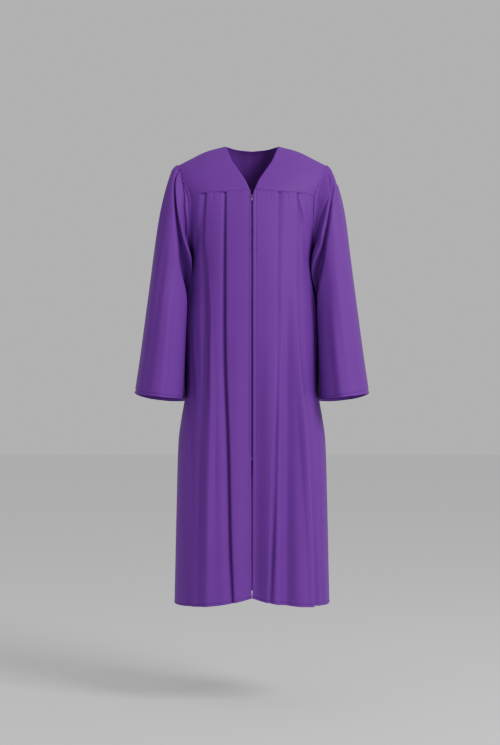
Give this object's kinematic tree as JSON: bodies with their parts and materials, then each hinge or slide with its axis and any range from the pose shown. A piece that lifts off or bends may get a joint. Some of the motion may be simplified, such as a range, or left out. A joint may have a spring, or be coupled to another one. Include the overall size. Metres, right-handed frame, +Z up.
{
  "type": "choir robe",
  "caption": "Full-length choir robe with a V neck, fitted yoke, knife-pleated body, front zip and open bell sleeves, in the form it has when worn.",
  "frame": {"origin": "midway between the two points where the shoulder seams meet the neckline, where the wearer's neck and shoulders hold the robe", "axes": "+Z up along the wearer, -Y to the front of the robe, +X to the wearer's left"},
  "size_m": [0.6054, 0.2826, 1.1774],
  "materials": {
    "cloth": "matt, with a slight sheen",
    "zip_tape": "matt",
    "zip_coil": "matt",
    "zip_metal": "satin"
  },
  "bodies": {
    "robe": {"yoke_right": "cloth", "yoke_left": "cloth", "yoke_back": "cloth", "front_right": "cloth", "front_left": "cloth", "back": "cloth", "sleeve_right": "cloth", "sleeve_left": "cloth", "zip_tape_right": "zip_tape", "zip_tape_left": "zip_tape", "zip_chain": "zip_coil", "zip_slider": "zip_metal", "zip_stop": "zip_metal"},
    "pull": {"zip_pull": "zip_metal"}
  },
  "joints": [
    {"name": "zip_pull_hinge", "type": "hinge", "parent": "robe", "child": "pull", "pos_m": [0, -0.10386, -0.13723], "axis": [-1, 0, 0], "range_deg": [0, 150]}
  ]
}
